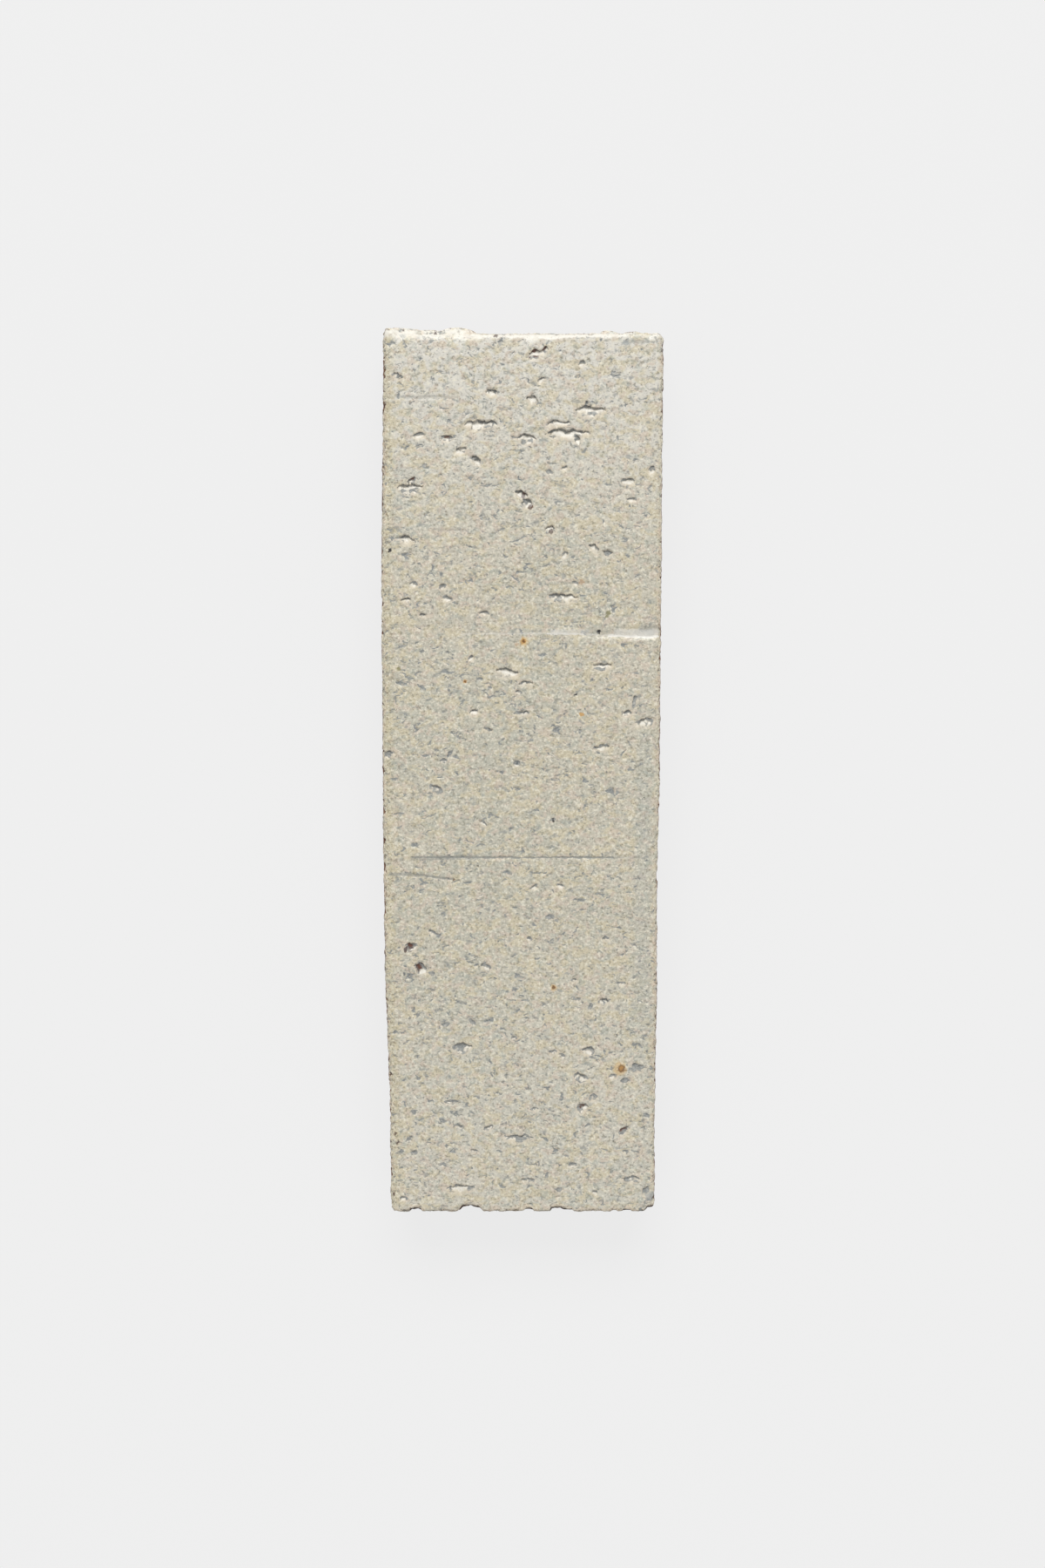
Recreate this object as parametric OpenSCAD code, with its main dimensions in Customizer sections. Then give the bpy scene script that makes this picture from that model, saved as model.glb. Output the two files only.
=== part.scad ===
// Thin brick tile: a short length of extruded clay column, wire-cut at both ends,
// with a torn, glazed face and a keyed back.
// The back lies on z = 0, the face looks up +Z and the head end looks along +Y.
// The origin is the middle of the back, under the centre of the tile's outer box.

/* [Tile] */
// Length from the cut at the foot to the cut at the head
tile_length = 203.2; // [140:0.1:300]
// Mean width between the two bowed long edges
tile_width = 63.5; // [50:0.1:100]
// Thickness from the lands of the back to the face
tile_thickness = 19; // [12:0.5:30]
// How far the left edge bows out between its ends
left_bow = 0.95; // [0.2:0.05:2]
// How far the right edge bows out between its ends
right_bow = 0.4; // [0.2:0.05:2]

/* [Arrises] */
// Radius that the die leaves along the long edges of the face
face_arris_r = 1.8; // [0.6:0.1:2.4]
// Radius that the die leaves along the long edges of the back
back_arris_r = 1; // [0.4:0.1:2]
// Radius of the face's edge at the two cut ends
end_arris_r = 0.9; // [0.4:0.1:1.6]
// Radius of the upright corners
corner_r = 1.4; // [0.6:0.1:3]

/* [Keyed back] */
// Number of keying grooves, even so that a land lies on the centre line
groove_count = 4; // [2:2:4]
// Width of a groove at its mouth
groove_mouth = 5; // [3:0.1:6]
// Depth of a groove
groove_depth = 2.5; // [1:0.1:4]
// How far each wall of a groove leans out, which keys the mortar
groove_flare = 0.7; // [0:0.1:1]
// Plain land between a long edge and the nearest groove
edge_land = 7; // [5:0.5:9]

/* [Wire cut] */
// How far the largest drag burr stands proud of the head
burr_height = 1.3; // [0.4:0.1:2]
// Depth of the largest nick in the arrises
nick_depth = 1; // [0.4:0.1:1.6]

/* [Torn face] */
// Depth of the deepest tears; each tear's width follows its depth
tear_depth = 1.1; // [0.4:0.1:2]
// Depth of the lines that grit dragged across the face
drag_depth = 0.15; // [0.1:0.05:0.4]
// Width of those lines
drag_width = 0.9; // [0.9:0.1:1.6]
// Depth of the stop mark, where the column stood still in the die
stop_depth = 0.45; // [0.2:0.05:0.8]
// Width of the stop mark at the right edge
stop_width = 3; // [2:0.5:6]
// Length of the stop mark, in from the right edge
stop_length = 25; // [10:1:40]

/* [Hidden] */

clay = "#c2baa4";

// The burrs belong to the outer box, so the body sits back from its head by half of them
head_y = (tile_length - burr_height) / 2;
foot_y = head_y - tile_length;
middle_y = (head_y + foot_y) / 2;
// A bow adds a third of itself to the mean at the middle and takes two thirds off at the ends
crown_x = (tile_width + (left_bow + right_bow) / 3) / 2;

// Slits, torn open under a steep upper wall, with a ramp below:
// [share across, share along, length, share of tear_depth, width over depth, turn]
slits = [
    [0.09, 0.95, 3.4, 1, 2.2, 10],
    [0.48, 0.828, 8.2, 0.9, 2.5, 0],
    [-0.29, 0.797, 8.8, 0.9, 2.3, 2],
    [0.03, 0.767, 4.6, 0.75, 2.6, -4],
    [0.32, 0.779, 13, 0.65, 2.8, 0],
    [-0.8, 0.659, 7, 0.8, 2.6, 0],
    [0.04, 0.626, 3.2, 0.8, 2.3, -45],
    [0.21, 0.569, 3, 0.75, 2.3, 5],
    [-0.81, 0.546, 4.2, 0.75, 2.6, -8],
    [0.3, 0.418, 8.4, 0.7, 2.8, -2],
    [0.58, 0.265, 5.2, 0.65, 2.8, -4],
    [-0.1, 0.251, 6.4, 0.8, 2.6, -5],
    [-0.61, -0.012, 4.8, 0.65, 2.5, -35],
    [-0.44, -0.611, 5.2, 0.75, 3.2, 5],
    [-0.03, -0.824, 9.4, 0.8, 2.4, 0],
    [-0.46, -0.944, 8.6, 0.7, 2.6, 2],
];

// Pits where the skin of the clay was plucked out, in the same form
pits = [
    [0.15, 0.959, 2.2, 0.6, 2.3, 60],
    [-0.87, 0.905, 3.2, 0.4, 3, -20],
    [-0.21, 0.868, 2.8, 0.5, 3, 5],
    [0.07, 0.853, 2.8, 0.55, 3, -35],
    [0.26, 0.801, 6, 0.45, 3.2, 3],
    [0.4, 0.764, 3, 0.6, 2.3, -65],
    [-0.43, 0.743, 3, 0.5, 3.3, 20],
    [-0.32, 0.721, 3, 0.55, 3, -40],
    [0, 0.648, 3.8, 0.6, 2.2, -20],
    [0.52, 0.53, 3.2, 0.55, 3, -40],
    [0.61, 0.518, 3, 0.5, 2.6, 0],
    [-0.82, 0.414, 3, 0.45, 2.6, 10],
    [-0.69, 0.38, 3.4, 0.35, 2.4, -5],
    [0.03, 0.228, 4.6, 0.35, 3.2, 0],
    [0.01, 0.16, 5.4, 0.4, 3.2, 0],
    [-0.34, 0.162, 2.4, 0.55, 2.6, 0],
    [0.76, 0.161, 2.6, 0.6, 2.5, 10],
    [0.81, 0.188, 4, 0.5, 2.6, 78],
    [0.89, 0.14, 5, 0.45, 5, 8],
    [-0.24, 0.124, 3.2, 0.3, 3.4, -15],
    [0.58, 0.084, 4.4, 0.45, 3.2, 4],
    [-0.27, -0.09, 2.4, 0.4, 2.3, -40],
    [-0.81, -0.374, 3.4, 0.8, 2.5, 5],
    [0.63, -0.355, 2.2, 0.35, 3.6, 0],
    [-0.73, -0.423, 3, 0.9, 2.3, -35],
    [-0.25, -0.421, 2.8, 0.5, 3.1, -10],
    [0.39, -0.45, 2.6, 0.3, 3.4, 0],
    [0.6, -0.502, 3.2, 0.5, 3.5, 15],
    [0.42, -0.494, 2.6, 0.3, 3.4, 0],
    [0.23, -0.618, 2.4, 0.45, 3.6, 0],
    [0.49, -0.616, 3, 0.6, 3.5, -20],
    [0.86, -0.657, 3.6, 0.4, 6, 0],
    [0.44, -0.68, 3.8, 0.7, 3, -15],
    [0.53, -0.726, 2.8, 0.4, 4.3, 20],
    [0.45, -0.752, 3.2, 0.85, 2.2, 15],
    [0.1, -0.753, 2.8, 0.3, 3.4, 0],
    [-0.25, -0.799, 3, 0.55, 2.5, 25],
    [0.76, -0.806, 2.8, 0.6, 2.4, 45],
    [-0.36, -0.853, 2.4, 0.35, 3, 0],
    [0.78, -0.856, 2.6, 0.25, 6, 0],
    [0.05, -0.923, 4.8, 0.4, 3.2, 8],
    [0.81, -0.921, 6, 0.45, 3.6, -4],
    [0.28, -0.945, 2.6, 0.3, 4.2, 0],
    [0.93, -0.95, 3.2, 0.45, 4.5, 60],
];

// Lines that grit dragged across the face: [share across, share along, length, turn]
drags = [
    [-0.66, 0.86, 13, 0],
    [-0.5, 0.57, 9, 0],
    [0.07, -0.166, 54, 0],
    [-0.71, -0.21, 14.5, -5],
];

// Burrs on the head's edge: [share across, length, share of burr_height]
burrs = [
    [-0.79, 11, 0.85],
    [-0.66, 16, 0.6],
    [-0.46, 12, 1],
    [0.6, 8, 0.5],
    [0.78, 11, 0.35],
];

// Nicks in the foot's edge: [share across, length, share of nick_depth]
foot_nicks = [
    [-0.79, 3.4, 0.8],
    [-0.4, 5.6, 1],
    [0.06, 2.8, 0.7],
    [0.28, 5, 0.8],
    [0.96, 4, 0.9],
];

// Nicks in the long edges: [side, share along, length, share of nick_depth]
side_nicks = [
    [1, 0.968, 3.6, 0.8],
    [1, 0.42, 3, 0.4],
    [1, -0.309, 2.4, 0.6],
    [1, -0.58, 3, 0.5],
    [-1, 0.6, 2.6, 0.5],
    [-1, 0.07, 3.4, 0.5],
    [-1, -0.81, 3, 0.7],
    [-1, -0.967, 4.4, 0.8],
];

// A bowed edge is straight stretches, whose profiles run on far enough to meet in a mitre
stretches = 4;
overrun = 15;
// Every other stretch is rounded this much more
wear = 0.05;
arris_steps = 6;
// A rounded edge meets its faces at this angle
arris_angle = 12;
// Where the stop mark lies, as a share of the half length
stop_share = 0.343;
// A slit's slot, as a share of the tear's width, and how deep a slot of that width may be
slot_share = 0.7;
slot_steepness = 0.46;
// A slit's ramp, as shares of the tear's length and width and of the slot's depth
ramp_length = 0.85;
ramp_width = 0.9;
ramp_depth = 0.6;
// How far the ramp's middle lies below the tear's, as a share of the width
ramp_shift = 0.1;
// A burr's radius, as a share of burr_height, and how far its crown lies below the face
burr_fatness = 1.6;
burr_drop = 0.2;
// Width of the largest nick, as a share of nick_depth
nick_spread = 3;
// Cutting shapes pass the surface that they cut by this much
past = 1;
// Facets of the long arcs, in degrees and in millimetres, and of a turn about one
arc_angle = 0.5;
arc_step = 0.5;
turn_fn = 32;

// A place on the face, from shares of the half width and the half length
function across(share) = share * tile_width / 2;
function along(share) = middle_y + share * tile_length / 2;

// Where a bowed long edge runs at a share of the half length
function edge_x(side, share) =
    side * (crown_x - share * share * (side < 0 ? left_bow : right_bow));
function edge_point(side, share) = [edge_x(side, share), along(share)];

// The radius of the arc that has this chord and this rise
function arc_r(chord, rise) = (chord * chord / 4 + rise * rise) / (2 * rise);

// A spindle along X: an arc of radius bow_r turned about the chord that lies r below its crown
module spindle(bow_r, r)
    rotate([0, 90, 0])
    rotate_extrude($fn = turn_fn)
    intersection() {
        translate([r - bow_r, 0]) circle(bow_r, $fa = arc_angle, $fs = arc_step);
        translate([0, -bow_r]) square(2 * bow_r);
    }

// A hollow along X in a surface at z = 0: as long, wide and deep as given
module dent(length, width, depth) {
    r = arc_r(width, depth);
    translate([0, 0, r - depth]) spindle(arc_r(length, depth), r);
}

// A slit along X: a narrow slot under the upper wall, and a wider ramp that rises from it
module slit(length, width, depth) {
    slot_width = slot_share * width;
    slot_depth = min(depth, slot_steepness * slot_width);
    translate([0, (width - slot_width) / 2, 0]) dent(length, slot_width, slot_depth);
    translate([0, -ramp_shift * width, 0])
        dent(ramp_length * length, ramp_width * width, ramp_depth * slot_depth);
}

// What a rounded edge of radius r takes off a corner at [0, 0] with the clay below and left
// of it; it meets both faces at a slight angle, as worn clay does
module arris(r) {
    inset = r * cos(arris_angle);
    round = [for (i = [0:arris_steps]) let (a = i * 90 / arris_steps)
        [r * cos(a) - inset, r * sin(a) - inset]];
    polygon(concat(round, [[-inset, past], [past, past], [past, -inset]]));
}

// A straight run of a profile from p to q, whose x looks left of the run
module run(p, q)
    translate([p.x, p.y, 0])
    rotate([0, 0, atan2(q.y - p.y, q.x - p.x)])
    rotate([90, 0, 90])
    translate([0, 0, -overrun])
    linear_extrude(norm(q - p) + 2 * overrun)
    children();

// Rounds one long edge of the face and the back, stretch by stretch along its bow
module rounded_side(side)
    for (i = [0:stretches - 1]) {
        ends = [for (k = [i, i + 1]) edge_point(side, side * (1 - 2 * k / stretches))];
        extra = (i % 2) * wear;
        run(ends[0], ends[1]) {
            translate([0, tile_thickness]) arris(face_arris_r + extra);
            mirror([0, 1]) arris(back_arris_r + extra);
        }
    }

// Rounds the face's edge at the head (end = 1) or the foot (end = -1), and its upright corners
module rounded_end(end) {
    edge_y = end > 0 ? head_y : foot_y;
    translate([0, edge_y, tile_thickness])
        rotate([90, 0, 90 * end])
        linear_extrude(2 * (crown_x + past), center = true)
        arris(end_arris_r);
    for (side = [-1, 1])
        translate([edge_x(side, 1), edge_y, -past])
            mirror([side < 0 ? 1 : 0, 0])
            mirror([0, end < 0 ? 1 : 0])
            linear_extrude(tile_thickness + 2 * past)
            arris(corner_r);
}

// The tile as it leaves the cutting table, before the tears and the keying
module blank() {
    shares = [for (i = [0:stretches]) 1 - 2 * i / stretches];
    right = [for (share = shares) edge_point(1, share)];
    left = [for (share = shares) edge_point(-1, -share)];
    difference() {
        linear_extrude(tile_thickness) polygon(concat(right, left));
        for (side = [-1, 1]) rounded_side(side);
        for (end = [-1, 1]) rounded_end(end);
    }
}

// One keying groove, wider at its floor than at its mouth
module groove() {
    mouth = groove_mouth / 2;
    floor = mouth + groove_flare;
    below = mouth - past * groove_flare / groove_depth;
    translate([0, foot_y - past, 0])
        rotate([90, 0, 180])
        linear_extrude(tile_length + 2 * past)
        polygon([[-below, -past], [below, -past], [floor, groove_depth], [-floor, groove_depth]]);
}

// The grooves, spread evenly between the lands along the two edges
module keyed_back() {
    pitch = (tile_width - 2 * edge_land - groove_mouth) / (groove_count - 1);
    for (i = [0:groove_count - 1])
        translate([(i - (groove_count - 1) / 2) * pitch, 0, 0]) groove();
}

// Clay that the wire dragged over the head's edge, just below the face
module head_burrs() {
    r = burr_fatness * burr_height;
    crown_z = tile_thickness - burr_drop;
    for (b = burrs)
        translate([across(b[0]), head_y + b[2] * burr_height - r, crown_z - r])
            spindle(arc_r(b[1], r), r);
}

// Places a tear at its shares of the face, turned as its row says
module on_face(row)
    translate([across(row[0]), along(row[1]), tile_thickness]) rotate([0, 0, row[5]]) children();

// The tears, the drag lines and the stop mark, a step that runs in from the right edge and
// faces the head, the other way from a slit
module torn_face() {
    for (s = slits)
        on_face(s) slit(s[2], s[3] * s[4] * tear_depth, s[3] * tear_depth);
    for (p = pits)
        on_face(p) dent(p[2], p[3] * p[4] * tear_depth, p[3] * tear_depth);
    for (d = drags)
        translate([across(d[0]), along(d[1]), tile_thickness]) rotate([0, 0, d[3]])
            dent(d[2], drag_width, drag_depth);
    translate([crown_x, along(stop_share), tile_thickness]) mirror([0, 1, 0])
        slit(2 * stop_length, stop_width, stop_depth);
}

// Nicks cut into the arrises at 45 degrees
module nicked_edges() {
    width = nick_spread * nick_depth;
    for (n = foot_nicks)
        translate([across(n[0]), foot_y, tile_thickness]) rotate([45, 0, 0])
            dent(n[1], width, n[2] * nick_depth);
    for (n = side_nicks)
        translate([edge_x(n[0], n[1]), along(n[1]), tile_thickness])
            rotate([0, n[0] * 45, 0]) rotate([0, 0, 90])
            dent(n[2], width, n[3] * nick_depth);
}

module brick_tile()
    color(clay)
    difference() {
        union() {
            blank();
            head_burrs();
        }
        keyed_back();
        torn_face();
        nicked_edges();
    }

brick_tile();
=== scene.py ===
"""Looks of the thin brick tile: one fired piece whose torn face carries a breaking glaze.

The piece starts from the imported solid. Its surface is remeshed, roughened vertex by vertex and
thinned again, and one procedural material glazes the face and leaves the rest as raw clay.
"""

import math

import bpy
import numpy as np
from mathutils import Matrix, Vector


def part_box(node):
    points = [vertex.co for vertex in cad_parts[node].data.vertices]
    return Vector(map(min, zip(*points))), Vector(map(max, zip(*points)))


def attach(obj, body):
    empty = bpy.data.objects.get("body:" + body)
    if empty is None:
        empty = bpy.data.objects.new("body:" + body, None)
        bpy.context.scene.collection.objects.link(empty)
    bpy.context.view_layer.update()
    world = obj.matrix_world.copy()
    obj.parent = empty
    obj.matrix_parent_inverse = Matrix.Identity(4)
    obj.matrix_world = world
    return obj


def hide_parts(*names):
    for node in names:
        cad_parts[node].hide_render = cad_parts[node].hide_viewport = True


MM = 0.001
NODE = "brick_tile"

# The skin's mesh, in millimetres and triangles
VOXEL = 0.25
MOST_TRIANGLES = 196000

# Small tears that the source leaves to the skin, in millimetres on the face:
# (x, y, length, width, turn in degrees, depth)
SMALL_TEARS = [
    (14.3, 85.2, 1.5, 0.9, 80, 0.4),
    (-16.7, 77.6, 2.6, 1.1, -10, 0.4),
    (-23.0, 78.2, 2.8, 1.2, 5, 0.35),
    (13.3, 94.0, 1.6, 1.2, 60, 0.4),
    (4.3, 90.4, 2.0, 1.0, 30, 0.35),
    (-24.7, 68.2, 2.4, 0.8, 25, 0.4),
    (23.8, 68.1, 3.0, 1.3, 0, 0.4),
    (9.8, 71.1, 1.6, 0.9, 20, 0.3),
    (6.3, 70.1, 1.6, 0.9, -20, 0.3),
    (29.3, 70.6, 1.8, 1.4, 60, 0.35),
    (24.8, 64.0, 2.2, 0.9, 0, 0.3),
    (9.9, 51.6, 1.8, 1.2, 60, 0.35),
    (-24.2, 45.1, 1.6, 1.2, 0, 0.35),
    (-17.7, 44.6, 1.8, 1.1, 20, 0.35),
    (12.3, 45.3, 1.5, 1.1, 0, 0.3),
    (-16.7, 41.7, 2.4, 1.1, -15, 0.4),
    (-8.2, 38.6, 2.2, 0.9, 0, 0.35),
    (17.6, 34.4, 1.1, 0.8, 0, 0.4),
    (-11.5, 28.3, 1.5, 1.1, 50, 0.35),
    (-0.7, 20.6, 1.8, 0.9, 0, 0.3),
    (12.5, 19.9, 0.9, 0.8, 0, 0.25),
    (7.8, 11.9, 1.4, 1.0, 0, 0.3),
    (-30.3, 6.3, 2.0, 1.2, 25, 0.5),
    (-16.3, 6.5, 2.0, 0.9, 65, 0.4),
    (-17.7, 4.9, 1.6, 0.9, 0, 0.35),
    (-1.0, 4.2, 1.6, 1.3, 0, 0.4),
    (7.4, -8.7, 1.1, 0.9, 0, 0.4),
    (3.1, -24.4, 1.8, 1.0, 30, 0.4),
    (9.1, -24.2, 1.6, 1.0, -30, 0.35),
    (6.8, -31.4, 2.0, 1.1, 0, 0.35),
    (2.1, -36.6, 1.4, 1.0, 0, 0.3),
    (-20.3, -35.2, 2.6, 0.8, -30, 0.4),
    (-20.6, -44.8, 1.5, 1.0, 0, 0.3),
    (-0.9, -45.4, 1.5, 0.9, 20, 0.3),
    (23.3, -47.1, 2.2, 0.9, 0, 0.35),
    (16.2, -52.6, 1.8, 0.8, 75, 0.35),
    (-11.4, -56.4, 2.4, 1.0, -50, 0.35),
    (-17.7, -56.8, 2.0, 1.0, 20, 0.35),
    (-1.7, -60.1, 1.2, 0.9, 0, 0.35),
    (9.6, -64.4, 1.8, 1.0, -45, 0.35),
    (21.5, -69.4, 1.8, 1.2, 0, 0.35),
    (24.2, -70.2, 2.0, 1.2, 0, 0.35),
    (-16.7, -75.4, 3.6, 0.9, 0, 0.35),
    (-25.7, -77.9, 1.6, 1.2, 0, 0.3),
    (-14.7, -81.4, 2.0, 1.0, -35, 0.35),
    (-26.7, -84.4, 2.0, 1.0, 30, 0.35),
    (-25.5, -87.7, 1.6, 1.0, 0, 0.35),
    (12.0, -90.7, 2.0, 1.2, 0, 0.35),
    (5.9, -93.4, 2.0, 0.8, 70, 0.3),
    (17.3, -97.4, 1.6, 1.0, 0, 0.35),
    (-27.9, -98.8, 1.6, 1.1, 0, 0.4),
]

# Spots on the face: (x, y, radius in millimetres), under the strength of each kind. A kind's
# colour has the same name in PALETTE.
SPOTS = {
    "flare": (0.6, [
        (23.1, -67.4, 1.7), (0.6, 32.2, 1.1), (7.6, -48.2, 0.9),
    ]),
    "tan": (0.6, [
        (13.6, 45.6, 0.7), (-1.0, 31.6, 0.6),
    ]),
    "rust": (0.75, [
        (0.6, 32.2, 0.7), (-12.7, 23.1, 0.5), (13.5, 15.6, 0.4), (14.1, 15.6, 0.4),
    ]),
    "iron": (0.85, [
        (0.7, 32.3, 0.3), (-12.7, 23.1, 0.25), (7.6, -48.2, 0.5), (23.5, -67.4, 1.0),
        (-15.5, -22.7, 0.4),
    ]),
    "ember": (0.8, [
        (23.5, -67.3, 0.45),
    ]),
    "burnt": (0.8, [
        (-23.7, -43.6, 0.8), (-25.6, -38.7, 0.75), (-26.6, -39.2, 0.5), (6.9, 57.0, 0.4),
        (1.9, 62.3, 0.5), (0.6, 64.8, 0.5), (-30.9, -68.7, 0.35), (-29.9, -83.0, 0.4),
        (-29.3, -85.1, 0.35), (-30.2, -97.8, 0.4), (-5.9, 100.3, 0.6), (-19.3, 100.9, 0.4),
        (-26.3, 101.4, 0.4), (31.3, 97.0, 0.5),
    ]),
    "raw": (0.85, [
        (2.6, 95.9, 1.1), (4.6, 97.0, 0.6), (-16.7, 77.4, 0.6), (-24.5, 68.4, 0.5),
        (-23.7, -43.6, 0.8), (-25.7, -38.7, 0.8), (24.1, -82.5, 0.7), (14.2, -77.0, 0.8),
        (0.8, 65.0, 0.7), (2.1, 62.6, 0.6), (6.7, 57.3, 0.7),
    ]),
    "black": (0.95, [
        (17.6, 34.4, 0.3), (12.5, 19.9, 0.25), (-29.7, 52.8, 0.4), (7.4, -9.0, 0.3),
    ]),
    "moss": (0.75, [
        (19.8, 38.6, 0.7), (19.4, 38.0, 0.5), (-27.9, 26.0, 0.4),
    ]),
    "slate": (0.8, [
        (-1.0, 4.0, 0.4), (-27.0, -44.8, 0.3),
    ]),
    "pool": (0.7, [
        (22.9, 98.6, 0.8), (30.5, -98.4, 1.3),
    ]),
}

# Kinds of spot that show only where the surface turns away from the lamp: bare clay kept to the lee, so
# partly painted shade
LEE_SPOTS = {"raw"}

# Lines that grit dragged across the face: (x, y, to x, to y, half width, strength), in millimetres
DRAG_LINES = [
    (-27.4, 86.7, -14.5, 86.7, 0.35, 0.4),
    (-19.9, 57.2, -12.0, 57.2, 0.3, 0.3),
    (-25.0, -17.7, -10.0, -17.5, 0.55, 0.6),
    (-25.0, -17.5, 21.5, -17.5, 0.22, 1.0),
    (21.5, -17.5, 27.5, -17.5, 0.2, 0.4),
    (-30.0, -21.3, -24.0, -21.6, 0.4, 0.7),
    (-24.0, -21.6, -15.6, -22.6, 0.3, 0.8),
    (22.9, 98.9, 28.0, 98.9, 0.45, 0.5),
    (27.5, 35.1, 31.5, 34.9, 0.8, 0.4),
]

# Painted highlights along the stop mark, in the same form
STOP_HIGHLIGHTS = [
    (-14.0, 33.9, 6.0, 34.0, 0.2, 0.3),
    (7.0, 34.5, 15.0, 34.5, 0.5, 0.4),
    (6.0, 34.0, 14.0, 34.0, 0.22, 0.8),
    (14.0, 34.0, 20.0, 33.8, 0.2, 0.4),
    (22.0, 34.3, 30.5, 34.2, 0.9, 0.6),
    (20.0, 33.8, 26.0, 33.6, 0.3, 0.9),
    (26.0, 33.6, 31.0, 33.4, 0.35, 0.9),
]

# How far the wire dragged the head's edge out beside the burrs: (x, reach), in millimetres
HEAD_LIP = [(-31.5, 0.7), (-30, 1.1), (-28.5, 1.0), (-27, 0.3), (-25.5, 0)]

# How far in from the head its edge sags: (x, width), in millimetres
HEAD_SAG = [(-31, 1.0), (-28, 2.6), (10, 2.2), (16, 1.4), (31, 1.0)]

# Nicks that the wire left in the foot's edge: (x, length, depth), in millimetres
FOOT_NICKS = [
    (-25.2, 3.0, 0.5), (-12.0, 5.4, 1.0), (1.6, 2.4, 0.5), (8.2, 3.2, 0.7), (10.6, 3.4, 0.4),
    (21.8, 1.6, 0.3), (24.8, 2.2, 0.4), (30.6, 2.6, 0.9),
]

# The stop mark runs to the right edge from this x, along this y, in millimetres
STOP_MARK = (5.0, 34.2)

# Where the long edges really run, from foot to head: (y, how far inside the solid), in millimetres
LEFT_WANDER = [
    (-95, 0.3), (-75, 0.55), (-60, 0.3), (-43, 0.0), (0, 0.1), (42, 0.0), (76, 0.1), (95, 0.1),
]
RIGHT_WANDER = [
    (-95, 0.1), (-85, 0.3), (-50, 0.2), (-22, 0.45), (0, 0.1), (42, 0.0), (66, 0.0), (95, -0.35),
]

# Colours in sRGB
PALETTE = {
    # The glaze, from its ground to its rims, with the painted sheen towards its head
    "cream": (203, 197, 180),
    "cool cream": (196, 193, 177),
    "pale": (226, 223, 214),
    "head sheen": (236, 232, 222),
    "straw": (212, 201, 172),
    "rose": (211, 196, 179),
    "blue band": (172, 180, 178),
    "yellowed": (212, 201, 164),
    "rim straw": (226, 217, 190),
    "rim rose": (220, 200, 178),
    "foot rim": (226, 211, 190),
    # Its grain and its marks, with the painted highlights and shade in its tears and along its stop mark
    "grey green": (178, 183, 172),
    "light fleck": (240, 234, 215),
    "dark fleck": (136, 131, 113),
    "crumb": (140, 136, 122),
    "mark": (144, 147, 145),
    "speck": (122, 106, 88),
    "halo": (225, 213, 192),
    "deep pool": (126, 130, 131),
    "thin pool": (164, 166, 162),
    "painted highlight": (234, 230, 219),
    "shaded wall": (100, 93, 88),
    "drag line": (134, 137, 134),
    "stop pool": (160, 166, 166),
    "stop highlight": (240, 237, 229),
    # The clay under it
    "clay": (104, 76, 62),
    "pale clay": (130, 96, 76),
    "pale streak": (150, 114, 92),
    "dark streak": (86, 62, 52),
    "pit": (62, 43, 37),
    "pale sand": (172, 132, 102),
    "dark sand": (70, 47, 40),
    # Painted shade in the foot's nicks
    "nick": (48, 38, 34),
    # The spots, by kind
    "flare": (228, 192, 130),
    "tan": (184, 148, 112),
    "rust": (202, 150, 74),
    "iron": (112, 74, 38),
    "ember": (188, 142, 84),
    "burnt": (76, 52, 46),
    "raw": (108, 66, 48),
    "black": (38, 32, 30),
    "moss": (130, 126, 80),
    "slate": (88, 96, 102),
    "pool": (160, 165, 164),
}

# Where each strip of the map starts and how wide it is, and how far the right side's strip lies
# from the left one's, all as shares of the map
FACE_STRIP, BACK_STRIP = (0.004, 0.55), (0.565, 0.25)
SIDE_STRIP, END_STRIP = (0.825, 0.05), (0.942, 0.05)
SIDE_STEP = 0.058

# The floor's grey and that of the sky where it is seen, from 0 to 255, the share of the floor's
# grey that is its own glow, and the sky's light on the tile
FLOOR_GREY, SKY_GREY = 240, 235
FLOOR_GLOW = 0.9
SKY_LIGHT = 0.45

# The lamp: where it is and its size, in metres, and its power in watts
LAMP_AT, LAMP_SIZE, LAMP_POWER = (0, 3.0, 2.6), (3.0, 1.8), 125

# The camera: where it is and what it looks at, and its lens, in millimetres
EYE, AIM, LENS = (0.31, 68.9, 512.2), (0.31, -0.4, 19), 50


def linear(*srgb):
    """A colour given in sRGB, 0 to 255, as the linear numbers that shaders take."""
    share = [c / 255 for c in srgb]
    return [c / 12.92 if c <= 0.04045 else ((c + 0.055) / 1.055) ** 2.4 for c in share]


def smoothstep(low, high, x):
    t = np.clip((x - low) / (high - low), 0, 1)
    return t * t * (3 - 2 * t)


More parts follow.
